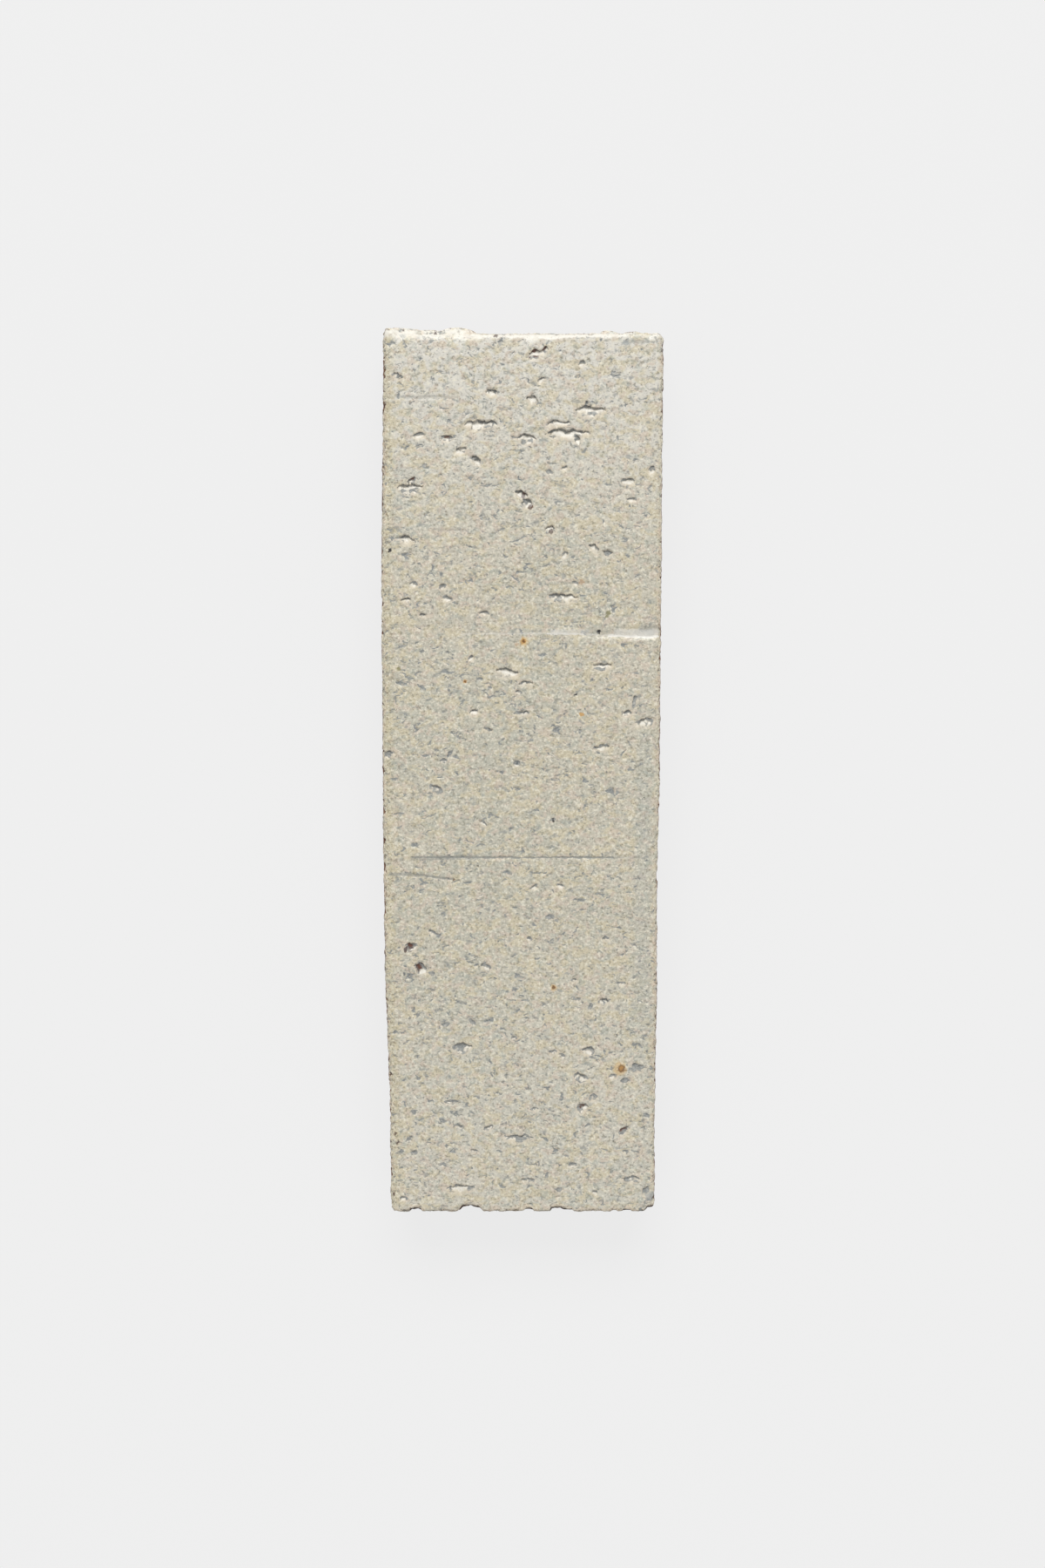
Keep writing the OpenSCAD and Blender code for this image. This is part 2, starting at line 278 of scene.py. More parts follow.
class Pattern:
    """Builds patterns as nodes, alike in a geometry tree and in a shader tree, so that the relief
    and the glaze on it agree. A pattern's place is the "rest" attribute: where the point of the
    clay lay before it was roughened, in millimetres."""

    def __init__(self, tree):
        self.nodes, self.links = tree.nodes, tree.links
        self.in_shader = tree.bl_idname == "ShaderNodeTree"
        self.place = self.attribute("rest", "FLOAT_VECTOR")
        flat = self.nodes.new("ShaderNodeVectorMath")
        flat.operation = "MULTIPLY"
        flat.inputs[1].default_value = (1, 1, 0)
        self.plug(flat.inputs[0], self.place)
        self.flat = flat.outputs[0]

    def attribute(self, name, kind="FLOAT"):
        if self.in_shader:
            node = self.nodes.new("ShaderNodeAttribute")
            node.attribute_name = name
            return node.outputs["Vector" if kind == "FLOAT_VECTOR" else "Fac"]
        node = self.nodes.new("GeometryNodeInputNamedAttribute")
        node.data_type = kind
        node.inputs["Name"].default_value = name
        return node.outputs["Attribute"]

    def plug(self, socket, value):
        """Links value to the socket if it is a socket itself, and else sets it there."""
        if isinstance(value, bpy.types.NodeSocket):
            self.links.new(value, socket)
        else:
            socket.default_value = value

    def math(self, operation, *values, clamp=False):
        node = self.nodes.new("ShaderNodeMath")
        node.operation = operation
        node.use_clamp = clamp
        for socket, value in zip(node.inputs, values):
            self.plug(socket, value)
        return node.outputs[0]

    def add(self, *values):
        total = values[0]
        for value in values[1:]:
            total = self.math("ADD", total, value)
        return total

    def times(self, *values):
        total = values[0]
        for value in values[1:]:
            total = self.math("MULTIPLY", total, value)
        return total

    def swing(self, noise, width):
        """A noise of 0 to 1 as a swing to both sides of 0, width from end to end."""
        return self.times(self.add(noise, -0.5), width)

    def axes(self, vector):
        node = self.nodes.new("ShaderNodeSeparateXYZ")
        self.plug(node.inputs[0], vector)
        return list(node.outputs)

    def either(self, *values):
        total = values[0]
        for value in values[1:]:
            total = self.math("MAXIMUM", total, value)
        return total

    def step(self, value, low, high):
        """A smooth step from 0 at low to 1 at high; it falls if low is the higher one."""
        node = self.nodes.new("ShaderNodeMapRange")
        node.interpolation_type = "SMOOTHSTEP"
        falls = low > high
        self.plug(node.inputs["Value"], value)
        self.plug(node.inputs["From Min"], min(low, high))
        self.plug(node.inputs["From Max"], max(low, high))
        self.plug(node.inputs["To Min"], float(falls))
        self.plug(node.inputs["To Max"], float(not falls))
        return node.outputs["Result"]

    def noise(self, size, detail=2.0, rough=0.5, seed=0, swirl=0.0):
        """Noise from 0 to 1, its grains about size millimetres, a number or one for each axis."""
        sizes = size if hasattr(size, "__len__") else (size,) * 3
        scaled = self.nodes.new("ShaderNodeVectorMath")
        scaled.operation = "MULTIPLY_ADD"
        self.plug(scaled.inputs[0], self.place)
        scaled.inputs[1].default_value = [1 / s for s in sizes]
        scaled.inputs[2].default_value = [seed * 7.31, seed * 3.17, seed * 5.53]
        node = self.nodes.new("ShaderNodeTexNoise")
        self.plug(node.inputs["Vector"], scaled.outputs[0])
        node.inputs["Scale"].default_value = 1.0
        node.inputs["Detail"].default_value = detail
        node.inputs["Roughness"].default_value = rough
        node.inputs["Distortion"].default_value = swirl
        return node.outputs[0]

    def near(self, x, y, radius, ragged):
        """1 near a point seen from above and 0 beyond radius millimetres of it, give or take ragged."""
        node = self.nodes.new("ShaderNodeVectorMath")
        node.operation = "DISTANCE"
        self.plug(node.inputs[0], self.flat)
        node.inputs[1].default_value = (x, y, 0)
        return self.step(self.add(node.outputs["Value"], ragged), 1.2 * radius, 0.6 * radius)

    def line(self, x, y, to_x, to_y, half, ragged):
        """1 on a line seen from above and 0 beyond half a width of it, give or take ragged."""
        run = Vector((to_x - x, to_y - y, 0))
        nodes = [self.nodes.new("ShaderNodeVectorMath") for _ in range(4)]
        start, share, nearest, off = nodes
        for node, operation in zip(nodes, ("SUBTRACT", "DOT_PRODUCT", "SCALE", "DISTANCE")):
            node.operation = operation
        self.plug(start.inputs[0], self.flat)
        start.inputs[1].default_value = (x, y, 0)
        self.plug(share.inputs[0], start.outputs[0])
        share.inputs[1].default_value = run / run.length_squared
        nearest.inputs[0].default_value = run
        self.plug(nearest.inputs["Scale"], self.math("MULTIPLY", share.outputs["Value"], 1.0, clamp=True))
        self.plug(off.inputs[0], start.outputs[0])
        self.plug(off.inputs[1], nearest.outputs[0])
        return self.step(self.add(off.outputs["Value"], ragged), 1.3 * half, 0.6 * half)


# Patterns that both the relief and the glaze are made from

def small_tears(p):
    """Short tears across the face, a millimetre or two long, thicker in some areas than in others."""
    blobs = p.noise((1.9, 1.25, 1.7), detail=3.0, rough=0.65, seed=1, swirl=0.8)
    crowd = p.noise((16, 11, 16), detail=1.0, seed=2)
    return p.step(p.add(blobs, p.times(crowd, 0.14)), 0.67, 0.74)


def broken_lines(p, lines):
    """The listed lines, each as strong as the list says and broken in places: the lines that grit
    dragged, broken where the rubbing skipped, and the painted highlights along the stop mark.
    """
    ragged = p.swing(p.noise((1.2, 0.8, 1.0), detail=3.0, rough=0.7, seed=5), 0.9)
    return p.either(*[p.times(p.line(*ends, half, ragged), strength)
                      for *ends, half, strength in lines])


def crumbs(p):
    """Pinholes and crumbled spots, half a millimetre across."""
    blobs = p.noise((0.95, 0.8, 0.9), detail=2.0, rough=0.55, seed=3, swirl=0.4)
    return p.step(blobs, 0.59, 0.73)


def bruises(p):
    """Shallow soft-edged marks, a millimetre or two across."""
    return p.step(p.noise((1.8, 1.25, 1.5), detail=3.0, rough=0.55, seed=4, swirl=0.4), 0.60, 0.69)


# What roughening samples at each vertex
FIELDS = {
    "small_tears": small_tears,
    "crumbs": crumbs,
    "bruises": bruises,
    "drag": lambda p: broken_lines(p, DRAG_LINES),
    "swell": lambda p: p.noise(24, detail=1.0, seed=11),
    "peel": lambda p: p.noise((3.2, 2.2, 2.6), detail=2.0, seed=12),
    "grain": lambda p: p.noise(1.0, detail=2.0, rough=0.6, seed=13),
    "rip": lambda p: p.noise((1.5, 0.9, 1.2), detail=3.0, rough=0.65, seed=21),
    "shove_x": lambda p: p.noise(1.7, detail=3.0, rough=0.65, seed=14),
    "shove_y": lambda p: p.noise(1.7, detail=3.0, rough=0.65, seed=15),
    "chips": lambda p: p.noise((1.1, 0.95, 1.2), detail=3.0, rough=0.6, seed=16),
    "rags": lambda p: p.noise(4.5, detail=2.0, seed=17),
    "wire": lambda p: p.noise((0.9, 2.0, 14), detail=3.0, rough=0.65, seed=18),
    "sand": lambda p: p.noise((1.3, 1.3, 1.3), detail=3.0, rough=0.65, seed=19),
    "die": lambda p: p.noise((1.2, 30, 1.2), detail=2.0, rough=0.6, seed=20),
    "pits": lambda p: p.noise((2.2, 2.2, 2.2), detail=3.0, rough=0.6, seed=22, swirl=0.6),
}


def evaluated(piece):
    """Applies the piece's modifiers to its mesh."""
    graph = bpy.context.evaluated_depsgraph_get()
    mesh = bpy.data.meshes.new_from_object(piece.evaluated_get(graph))
    piece.modifiers.clear()
    old, piece.data = piece.data, mesh
    bpy.data.meshes.remove(old)


def voxel_skin(node):
    """The CAD node's surface as an even mesh, fine enough to roughen."""
    piece = bpy.data.objects.new("glazed_tile", node.data.copy())
    bpy.context.scene.collection.objects.link(piece)
    remesh = piece.modifiers.new("voxels", "REMESH")
    remesh.mode = "VOXEL"
    remesh.voxel_size = VOXEL * MM
    evaluated(piece)
    return piece


def numbers(data, name, width=1):
    """A number, or a row of width numbers, for each item."""
    found = np.empty(len(data) * width, np.float32)
    data.foreach_get(name, found)
    return found.astype(float).reshape(-1, width) if width > 1 else found.astype(float)


def keep(mesh, name, values):
    """Stores a number or a vector for each vertex, for the patterns and the material to read."""
    kind, key = ("FLOAT", "value") if values.ndim == 1 else ("FLOAT_VECTOR", "vector")
    layer = mesh.attributes.get(name) or mesh.attributes.new(name, kind, "POINT")
    layer.data.foreach_set(key, values.astype(np.float32).ravel())


def sampled(piece, fields):
    """Each field's value at each vertex, worked out by geometry nodes."""
    tree = bpy.data.node_groups.new("fields", "GeometryNodeTree")
    for way in ("INPUT", "OUTPUT"):
        tree.interface.new_socket("Geometry", in_out=way, socket_type="NodeSocketGeometry")
    source, sink = tree.nodes.new("NodeGroupInput"), tree.nodes.new("NodeGroupOutput")
    pattern, flow = Pattern(tree), source.outputs[0]
    for name, build in fields.items():
        store = tree.nodes.new("GeometryNodeStoreNamedAttribute")
        store.inputs["Name"].default_value = name
        pattern.plug(store.inputs["Value"], build(pattern))
        tree.links.new(flow, store.inputs["Geometry"])
        flow = store.outputs["Geometry"]
    tree.links.new(flow, sink.inputs[0])
    modifier = piece.modifiers.new("fields", "NODES")
    modifier.node_group = tree
    evaluated(piece)
    bpy.data.node_groups.remove(tree)
    found = {}
    for name in fields:
        found[name] = numbers(piece.data.attributes[name].data, "value")
        piece.data.attributes.remove(piece.data.attributes[name])
    return found


def vertex_pairs(mesh):
    """The two vertices of each edge."""
    pairs = np.empty(len(mesh.edges) * 2, np.int32)
    mesh.edges.foreach_get("vertices", pairs)
    return pairs.reshape(-1, 2)


def move_to(mesh, place):
    """Puts the vertices at place, in millimetres."""
    mesh.vertices.foreach_set("co", (place * MM).astype(np.float32).ravel())
    mesh.update()


def spread(values, edges, passes):
    """Values blurred over the mesh: each pass mixes every vertex with its neighbours."""
    a, b = edges.T
    size = len(values)
    count = np.bincount(a, minlength=size) + np.bincount(b, minlength=size)
    for _ in range(passes):
        beside = np.bincount(a, values[b], size) + np.bincount(b, values[a], size)
        values = (values + beside / count) / 2
    return values


class Outline:
    """The tile's outline seen from above, in millimetres, read off its upright sides."""

    def __init__(self, place, normal, thickness):
        middle = (abs(normal[:, 2]) < 0.4) & (abs(place[:, 2] - thickness / 2) < 4)
        x, y = place[middle, 0], place[middle, 1]
        self.left, self.right = self.edge(y, x, -1), self.edge(y, x, 1)
        self.foot, self.head = self.edge(x, y, -1), self.edge(x, y, 1)
        upper = place[:, 2] > thickness - 4
        self.crest = self.edge(place[upper, 0], place[upper, 1], 1, 0.5)

    @staticmethod
    def edge(along, out, side, stride=1.0):
        """How far out the outline reaches at each place along it, as two lists to interpolate."""
        bins = np.arange(np.floor(along.min()), np.ceil(along.max()) + stride, stride)
        reach = np.full(len(bins), -np.inf)
        np.maximum.at(reach, np.searchsorted(bins, along) - 1, side * out)
        full = np.isfinite(reach)
        return bins[full] + stride / 2, side * reach[full]

    def inset(self, place):
        """How far inside the nearest long edge and the nearest cut end each point lies."""
        x, y = place[:, 0], place[:, 1]
        sides = np.minimum(x - np.interp(y, *self.left), np.interp(y, *self.right) - x)
        ends = np.minimum(y - np.interp(x, *self.foot), np.interp(x, *self.head) - y)
        return sides, ends


def pull_to_wander(place, outline):
    """Moves the long edges to where they really run, and what lies between them in proportion."""
    x, y = place[:, 0], place[:, 1]
    left, right = np.interp(y, *outline.left), np.interp(y, *outline.right)
    share = np.clip((x - left) / (right - left), 0, 1)
    from_left = np.interp(y, *zip(*LEFT_WANDER))
    from_right = np.interp(y, *zip(*RIGHT_WANDER))
    place[:, 0] += (1 - share) * from_left - share * from_right


def hand_tears(place):
    """How deep the listed small tears are at each point, in millimetres."""
    depth = np.zeros(len(place))
    for x, y, length, width, turn, deep in SMALL_TEARS:
        c, s = math.cos(math.radians(turn)), math.sin(math.radians(turn))
        dx, dy = place[:, 0] - x, place[:, 1] - y
        u, v = (dx * c + dy * s) / (length / 2), (dy * c - dx * s) / (width / 2)
        depth = np.maximum(depth, deep * smoothstep(1.2, 0.7, np.hypot(u, v)))
    return depth


def foot_nicks(place, to_foot, top):
    """How far the listed nicks move each point in from the foot, in millimetres. A nick narrows
    downwards and ends about as far down as it is long."""
    down = np.clip(top - 1.0 - place[:, 2], 0, None)
    cut = np.zeros(len(place))
    for x, length, deep in FOOT_NICKS:
        reach = np.hypot((place[:, 0] - x) / (length / 2), down / (0.5 * length + 1.2))
        cut = np.maximum(cut, deep * smoothstep(1.15, 0.7, reach))
    return cut * smoothstep(3.0, 0.8, to_foot)


def ripped(normal, field, hollow, close, upward):
    """How deep the source's hollows are once ripped: ragged, and steep under their upper rims."""
    deep = hollow + (0.6 + 0.7 * upward) * (field["rip"] - 0.5) * close
    upper = smoothstep(0.12, -0.12, normal[:, 1])
    steep = smoothstep(0.07, 0.2, deep) * np.clip(0.2 + 0.7 * deep, 0, 2)
    return (upper * steep + (1 - upper) * 1.1 * np.clip(deep, 0, 2) ** 1.7) * close


def head_sag(x, to_head, field):
    """How far the head's edge sags over its last millimetres, raggedly."""
    band = np.interp(x, *zip(*HEAD_SAG))
    frayed = to_head + 5 * (field["rags"] - 0.5)
    return 0.36 * np.clip(band - frayed, 0, band) ** 2 / band


def waviness(field):
    """How far the glazed face lies above its mean, from its broad swell to its grain."""
    return 0.3 * (field["swell"] - 0.6) + 0.22 * (field["peel"] - 0.6) + 0.2 * (field["grain"] - 0.6)


def arris_share(sides, ends, height, thickness):
    """1 on the arrises round the face, and 0 away from them."""
    share = np.exp(-((sides - 0.1) / 0.6) ** 2) + np.exp(-((ends - 0.1) / 0.5) ** 2)
    share *= smoothstep(thickness - 4, thickness - 1.5, height)
    return np.clip(share, 0, 1)


def raw_relief(sides, ends, height, thickness, field):
    """How far in the raw clay lies: scratched by the wire at the ends, drawn by the die along the
    sides and the back, and sandy and pitted all over."""
    raw = 1 - smoothstep(thickness - 3.2, thickness - 1.6, height)
    at_end = smoothstep(0.8, 0.1, ends) * raw
    at_side = smoothstep(1.2, 0.3, sides) * raw * (1 - at_end)
    under = raw * (1 - np.clip(at_end + at_side, 0, 1))
    relief = (
        at_end * (1.5 * (0.62 - field["wire"]) + 1.1 * (0.6 - field["sand"]))
        + at_side * (0.9 * (0.62 - field["die"]) + 0.5 * (0.6 - field["sand"]))
        + under * (0.7 * (0.62 - field["sand"]) + 0.6 * (0.62 - field["die"]))
        + raw * 1.3 * smoothstep(0.66, 0.76, field["pits"])
    )
    return np.clip(relief, -0.02, 1.1)


def roughen(piece, low, high):
    """Gives the skin its fired surface, and stores what the material needs to know about it."""
    keep(piece.data, "rest", numbers(piece.data.vertices, "co", 3) / MM)
    field = sampled(piece, FIELDS)
    mesh = piece.data
    place = numbers(mesh.vertices, "co", 3) / MM
    normal = numbers(mesh.vertices, "normal", 3)
    edges = vertex_pairs(mesh)
    x, y, height = place.T
    thickness = high[2]

    # Where each point lies: how far in from the edges, and whether on the face
    outline = Outline(place, normal, thickness)
    sides, ends = outline.inset(place)
    inset = np.minimum(sides, ends)
    to_head, to_foot = np.interp(x, *outline.head) - y, y - np.interp(x, *outline.foot)
    on_face = smoothstep(thickness - 4, thickness - 2.5, height)
    skin = on_face * smoothstep(-0.2, 1.2, inset)
    within = on_face * smoothstep(1.0, 2.2, sides) * smoothstep(0.6, 1.6, ends)
    upward = smoothstep(0, 35, y)
    shove = np.stack([field["shove_x"] - 0.5, field["shove_y"] - 0.5, 0 * inset], 1)

    # The hollows of the source, and how near to one a point lies. The stop mark stays smooth
    # and the rest are ripped.
    hollow = np.clip(thickness - height, 0, 3) * within
    stop = smoothstep(4.5, 3.5, abs(y - STOP_MARK[1])) * smoothstep(-3, 0, x - STOP_MARK[0])
    close = smoothstep(0.03, 0.12, spread(hollow, edges, 14)) * (1 - stop)
    torn = ripped(normal, field, hollow, close, upward) * within
    by_hand = hand_tears(place + 1.8 * shove) * skin
    by_chance = 0.16 * field["small_tears"] * skin * (1 - close)
    depth = np.maximum(np.maximum(torn, by_hand), by_chance)

    # Towards the foot the glaze has partly filled the tears
    torn *= 0.6 + 0.4 * upward
    by_hand *= 0.7 + 0.3 * upward
    fracture = 0.5 * (field["grain"] - 0.5) * close * smoothstep(0.05, 0.3, torn)

    # How far down each point of the face goes
    small = np.maximum(by_chance, by_hand)
    fine = 0.09 * field["crumbs"] + 0.08 * field["bruises"] + 0.06 * field["drag"]
    down = skin * (small + fine - waviness(field)) + (torn - hollow) * close - fracture
    down += head_sag(x, to_head, field) * on_face

    # Chips along the arrises, more of them on the left, ragged rims, and nicks in the foot
    arris = arris_share(sides, ends, height, thickness)
    easy = 0.25 * (field["rags"] - 0.5) + 0.035 * (x < 0)
    chip = arris * smoothstep(0.57, 0.68, field["chips"] + easy)
    ragged = arris * (0.75 * (field["shove_x"] - 0.4) + 0.4 * (field["rags"] - 0.4))
    nick = foot_nicks(place + 2.2 * shove, to_foot, thickness)
    bare_nick = smoothstep(0.15, 0.4, nick) * smoothstep(0.9, 0.3, to_foot)

    into = np.zeros_like(place)
    into[:, 2] -= down
    rough = raw_relief(sides, ends, height, thickness, field)
    into -= normal * (0.55 * chip + np.clip(1.3 * ragged, 0, 1) + rough)[:, None]
    into += shove * (2.0 * close * within + 0.5 * skin * smoothstep(0, 3, inset))[:, None]
    # Tears are pulled towards the head and the stop mark towards the foot
    pulled = np.clip(0.9 * torn, 0, 1.0) + 0.7 * by_hand + 0.25 * by_chance
    into[:, 1] += pulled - 0.8 * hollow * stop + nick
    into[:, 1] += np.interp(x, *zip(*HEAD_LIP)) * smoothstep(3, 0.5, to_head) * on_face
    moved = place + into
    pull_to_wander(moved, outline)
    move_to(mesh, np.clip(moved, low, high))

    for name, values in {
        "rest_normal": normal,
        "tilt": numbers(mesh.vertices, "normal", 3)[:, 1],
        "depth": depth,
        "stop": hollow * stop,
        "around": spread(np.maximum(hollow * (1 - stop), by_hand), edges, 16),
        "sides": sides,
        "head": np.interp(x, *outline.crest) - y,
        "foot": to_foot,
        "nick": nick,
        "chip": np.maximum(chip, bare_nick),
    }.items():
        keep(mesh, name, values)


def thin_out(piece, low, high):
    """Collapses the mesh to MOST_TRIANGLES, most of them on the face, and inside its box."""
    mesh = piece.data
    rest = numbers(mesh.attributes["rest"].data, "vector", 3)
    group = piece.vertex_groups.new(name="spare")
    back = np.flatnonzero(rest[:, 2] < rest[:, 2].max() - 6)
    group.add(np.arange(len(rest)).tolist(), 0.5, "REPLACE")
    group.add(back.tolist(), 1.0, "REPLACE")
    thin = piece.modifiers.new("thin", "DECIMATE")
    thin.ratio = MOST_TRIANGLES / sum(len(p.vertices) - 2 for p in mesh.polygons)
    thin.vertex_group = group.name
    thin.vertex_group_factor = 1.0
    thin.use_collapse_triangulate = True
    evaluated(piece)
    piece.vertex_groups.clear()
    mesh = piece.data
    move_to(mesh, np.clip(numbers(mesh.vertices, "co", 3) / MM, low, high))


def on_strip(strip, share):
    """The place on the map at a share of a strip's width."""
    start, width = strip
    return start + width * share


def unwrap(piece):
    """A map in strips: the face over more than half of it, the back, the two sides, the ends."""
    mesh = piece.data
    corners = np.empty(len(mesh.loops), np.int32)
    mesh.loops.foreach_get("vertex_index", corners)
    rest = numbers(mesh.attributes["rest"].data, "vector", 3)[corners]
    per_face = np.repeat(np.arange(len(mesh.polygons)), 3)
    facing = numbers(mesh.polygons, "normal", 3)[per_face]
    middle = numbers(mesh.polygons, "center", 3)[per_face] / MM
    low, high = rest.min(0), rest.max(0)
    across, along, up = ((rest - low) / (high - low)).T
    deep = high[2] - middle[:, 2]
    face = (deep < 2.4) & ((facing[:, 2] > 0.35) | (deep < 0.9))
    back = ~face & (middle[:, 2] < 4) & ((facing[:, 2] < -0.5) | (abs(middle[:, 0]) < high[0] - 4))
    upright = ~face & ~back
    end = upright & (abs(facing[:, 1]) > abs(facing[:, 0]))
    side = upright & ~end
    u, v = along.copy(), np.empty_like(along)
    v[face] = on_strip(FACE_STRIP, across[face])
    v[back] = on_strip(BACK_STRIP, across[back])
    # The right side's strip lies beside the left one's, and the two ends share a strip
    v[side] = on_strip(SIDE_STRIP, up[side]) + SIDE_STEP * (facing[side, 0] > 0)
    v[end] = on_strip(END_STRIP, up[end])
    u[end] = 0.49 * across[end] + 0.5 * (facing[end, 1] > 0)
    layer = mesh.uv_layers.new(name="OFBake")
    layer.uv.foreach_set("vector", np.stack([0.003 + 0.994 * u, v], 1).astype(np.float32).ravel())


def mixed(p, share, first, second):
    """first where share is 0 and second where it is 1; each is a socket or a name in PALETTE."""
    node = p.nodes.new("ShaderNodeMix")
    node.data_type = "RGBA"
    sockets = [s for s in node.inputs if s.enabled]
    for socket, value in zip(sockets, (share, first, second)):
        p.plug(socket, (*linear(*PALETTE[value]), 1) if isinstance(value, str) else value)
    return next(s for s in node.outputs if s.enabled)


def coated(p, colour, *coats):
    """The colour under coats: (where it lies, how strong it is, its own colour) for each."""
    for where, strength, coat in coats:
        colour = mixed(p, p.times(where, strength), colour, coat)
    return colour


class Skin:
    """What the material knows of a point on the skin: the measures that roughen stored, where
    the point lies, and the noises and masks that several coats share."""

    def __init__(self, p, top):
        self.depth, self.around = p.attribute("depth"), p.attribute("around")
        self.sides, self.head, self.foot = (p.attribute(edge) for edge in ("sides", "head", "foot"))
        self.chip, self.nick = p.attribute("chip"), p.attribute("nick")
        self.across, self.along, height = p.axes(p.place)
        self.down = p.math("SUBTRACT", top, height)
        _, lengthwise, _ = p.axes(p.attribute("rest_normal", "FLOAT_VECTOR"))
        self.cut_end = p.step(p.math("ABSOLUTE", lengthwise), 0.6, 0.8)
        self.uncut = p.add(1.0, p.times(self.cut_end, -1.0))

        self.patches = p.noise((2.8, 2.2, 2.6), detail=1.0, rough=0.5, seed=33, swirl=0.5)
        self.grains = p.noise((1.9, 1.5, 1.6), detail=1.0, rough=0.5, seed=32, swirl=0.5)
        self.flecks = p.noise((0.65, 0.58, 0.6), detail=3.0, rough=0.7, seed=34)
        self.grit = p.noise((0.5, 0.45, 0.5), detail=2.0, rough=0.6, seed=37)
        self.sand = p.noise(0.5, detail=2.0, rough=0.7, seed=41)
        self.ragged = p.swing(p.noise(2.4, detail=3.0, rough=0.65, seed=43), 3.4)

        # The strip along the left arris, the rim of the foot, and the marks
        self.frayed = p.add(self.sides, p.swing(self.grains, 2.4))
        self.strip = p.times(p.step(self.frayed, 3.4, 1.4), p.step(self.across, 1.0, -1.0))
        self.foot_rim = p.step(p.add(self.foot, self.ragged, p.times(self.nick, -1.2)), 1.5, 0.5)
        self.tears, self.crumbs, self.dragged = small_tears(p), crumbs(p), broken_lines(p, DRAG_LINES)

        # How far the surface faces the head and its lamp, and where glaze pools deep in the lee of the
        # lamp: real pooling, kept to the lee as partly painted shade
        self.tilt = p.add(p.attribute("tilt"), p.swing(self.flecks, 0.4))
        self.varied = p.add(self.tilt, p.swing(self.patches, 1.2),
                            p.times(p.step(self.along, 30.0, -10.0), -0.03))
        self.speckled = p.add(self.depth, p.swing(self.grit, 0.25))
        self.pool = p.times(p.step(self.speckled, 0.06, 0.16), p.step(self.varied, 0.25, 0.05))


def glaze_ground(p, at):
    """Cream with a painted sheen that pales it towards the head and brightens it over the head's last
    millimetres, a little paler towards the foot, with patches of straw and rose and a blue-grey band
    beside the right edge."""
    cloud = p.noise(34, detail=2.0, seed=31)
    blush = p.noise((6.0, 4.0, 5.0), detail=1.0, seed=36)
    stains = p.noise((2.2, 1.8, 2.0), detail=1.0, rough=0.5, seed=35, swirl=0.5)
    head_sheen_and_pale_foot = p.either(p.times(p.step(at.along, 40.0, 100.0), 0.85),
                       p.times(p.step(at.along, -30.0, -85.0), 0.3))
    band = p.times(p.step(p.math("ABSOLUTE", p.add(at.across, -28.3)), 2.6, 0.8),
                   p.step(at.along, 25.0, 5.0), p.step(at.along, -75.0, -40.0),
                   p.step(at.patches, 0.3, 0.6))
    return coated(
        p, mixed(p, p.step(cloud, 0.35, 0.65), "cream", "cool cream"),
        # Painted sheen: paler towards the head and brightest over its last millimetres; a little paler
        # towards the foot
        (head_sheen_and_pale_foot, 1.0, "pale"),
        (p.step(at.head, 10.0, 1.5), 0.35, "head sheen"),
        (p.step(p.add(at.patches, p.swing(blush, 0.3)), 0.46, 0.62), 0.8, "straw"),
        (p.step(p.add(stains, p.swing(blush, -0.3)), 0.53, 0.66), 0.7, "rose"),
        (band, 0.45, "blue band"),
    )


def glaze_rims(p, at, glaze):
    """It yellows along the left arris, breaks to straw and rose over both long arrises, and is
    cream along the cut foot."""
    broken = mixed(p, p.step(at.patches, 0.48, 0.6), "rim straw", "rim rose")
    return coated(
        p, glaze,
        (at.strip, 0.5, "yellowed"),
        (p.step(at.frayed, 1.5, 0.5), 0.75, broken),
        (at.foot_rim, 0.7, "foot rim"),
    )


def glaze_grain(p, at, glaze):
    """A fine grain, then crumbs, small tears and bruises, and specks that lie thicker along the
    edges."""
    edges = p.either(at.strip, p.step(at.sides, 1.4, 0.5), at.foot_rim)
    specks = p.add(p.noise((0.6, 0.5, 0.55), detail=2.0, rough=0.6, seed=38), p.times(edges, 0.08))
    return coated(
        p, glaze,
        (p.step(at.grains, 0.46, 0.30), 0.55, "grey green"),
        (p.step(at.flecks, 0.50, 0.67), 0.85, "light fleck"),
        (p.step(at.flecks, 0.46, 0.29), 0.8, "dark fleck"),
        (at.crumbs, 0.5, "crumb"),
        (p.either(p.times(at.tears, 0.9), p.times(bruises(p), 0.6)), 1.0, "mark"),
        (p.step(specks, 0.62, 0.74), 0.6, "speck"),
    )


def glaze_in_tears(p, at, glaze):
    """It thins to cream round the tears and pools blue-grey in them, kept to where they turn away
    from the lamp as partly painted shade. It gets a painted highlight on their ramps and over the
    head where these face the lamp, and painted shade on their upper walls."""
    pooled_and_shaded = mixed(p, p.step(at.grit, 0.38, 0.62), "deep pool", "thin pool")
    lit_ramps = p.times(p.step(at.speckled, 0.06, 0.35), p.step(at.varied, 0.1, 0.35))
    lit_head = p.times(p.step(at.head, 3.0, 1.0), p.step(at.varied, 0.0, 0.5), at.uncut,
                        p.add(0.3, p.times(p.step(at.across, 26.0, 16.0), 0.7)))
    return coated(
        p, glaze,
        (p.step(at.around, 0.02, 0.1), 0.5, "halo"),
        # Pooled glaze, kept to where the tears turn away from the lamp: partly painted shade
        (at.pool, 0.9, pooled_and_shaded),
        # Painted highlight where ramps and the head's edge face the lamp
        (p.either(lit_ramps, lit_head), 0.9, "painted highlight"),
        # Painted shade on upper walls turned away from the lamp
        (p.times(p.step(at.tilt, -0.4, -0.66), p.step(at.depth, 0.1, 0.25)), 0.75, "shaded wall"),
    )


